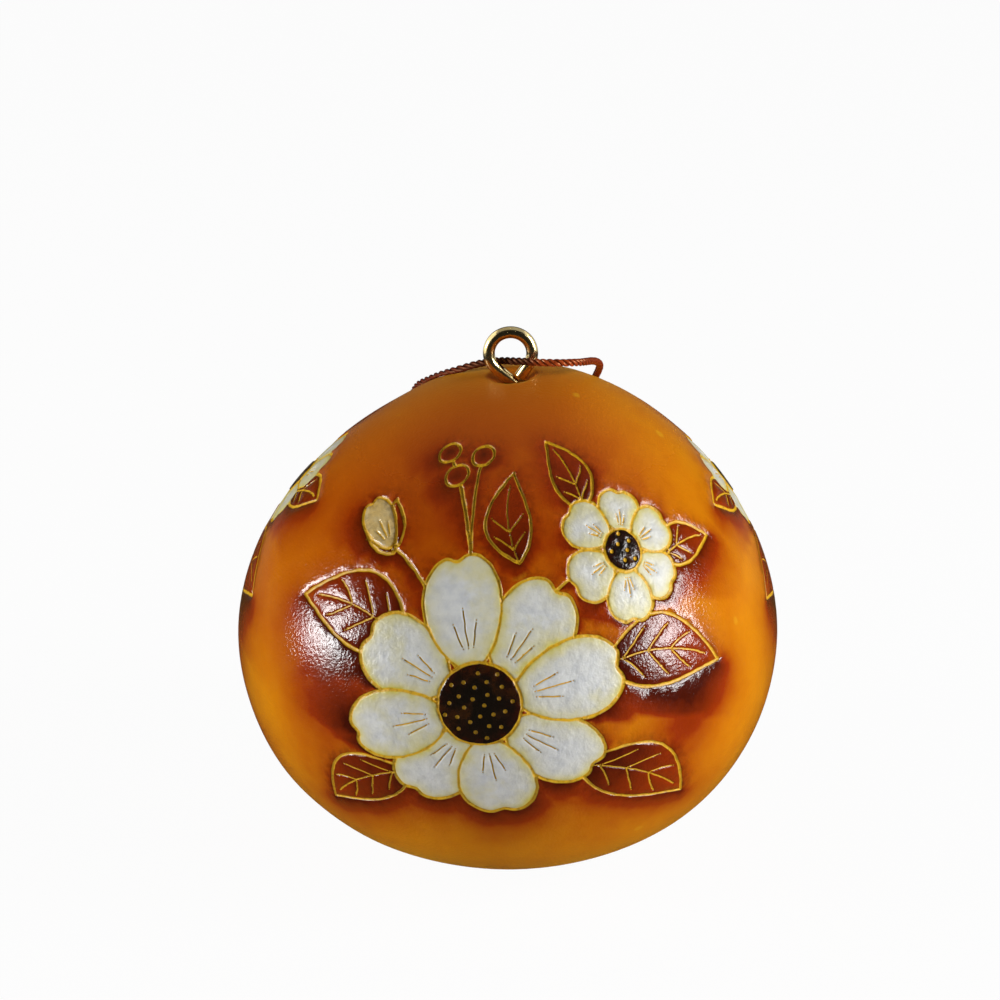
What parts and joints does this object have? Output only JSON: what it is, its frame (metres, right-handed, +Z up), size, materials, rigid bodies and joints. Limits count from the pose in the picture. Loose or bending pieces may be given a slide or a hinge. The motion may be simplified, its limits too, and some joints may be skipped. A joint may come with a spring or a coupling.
{
  "type": "carved gourd ornament",
  "caption": "Round dried gourd with a carved, dyed and lacquered skin, loose seeds inside and a brass screw eye that carries a twisted cord loop for hanging.",
  "frame": {"origin": "centre of the sanded flat that the gourd stands on", "axes": "+Z up along the gourd to its stem end, carved front towards -Y, +X to the right seen from the front"},
  "size_m": [0.07, 0.0726, 0.0697],
  "materials": {
    "gourd": "amber dye under gloss lacquer, with golden carved lines, brown burnt shading, chalky white paint and black ink",
    "brass": "polished brass plate",
    "glue": "clear amber hardened glue",
    "seed": "dry pale brown seed coat",
    "cord": "silky red-brown twisted cord"
  },
  "bodies": {
    "gourd": {"gourd_shell": "gourd", "screw_eye": "brass", "glue_bead": "glue"},
    "seeds": {"seeds": "seed"},
    "cord": {"hanging_cord": "cord", "cord_knot": "cord"}
  },
  "joints": [
    {"name": "cord_swing", "type": "hinge", "parent": "gourd", "child": "cord", "pos_m": [0.0001, 0.00022, 0.06515], "axis": [0.819, -0.5528, 0.1536], "range_deg": [0, 140]},
    {"name": "seeds_rattle", "type": "slide", "parent": "gourd", "child": "seeds", "axis": [0, 0, 1], "range_m": [0, 0.04]}
  ]
}
